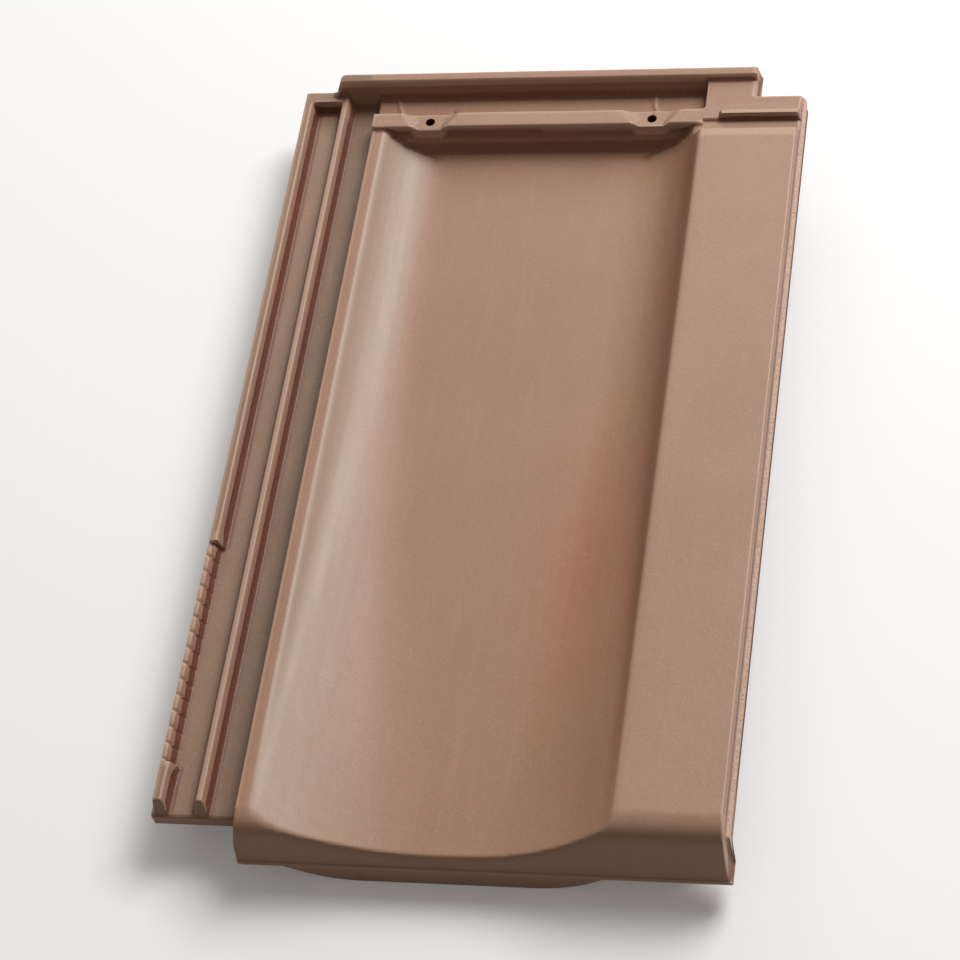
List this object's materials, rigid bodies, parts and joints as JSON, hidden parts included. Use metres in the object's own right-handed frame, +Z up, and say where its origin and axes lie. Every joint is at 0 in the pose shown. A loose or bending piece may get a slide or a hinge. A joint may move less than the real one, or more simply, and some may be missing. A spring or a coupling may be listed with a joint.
{
  "type": "clay roof tile",
  "caption": "Flat interlocking clay roof tile with a side lock, a wide hollow pan, a flat cover and nail holes at its head.",
  "frame": {"origin": "on the floor under the middle of the tile, as it lies flat on its foot rib and lugs", "axes": "+X from the side lock to the flat cover, +Y up the roof slope from the foot to the head, +Z up"},
  "size_m": [0.298, 0.494, 0.05],
  "materials": {
    "fired_clay": "matt engobe over red clay"
  },
  "bodies": {
    "root": {"roof_tile": "fired_clay"}
  },
  "joints": []
}
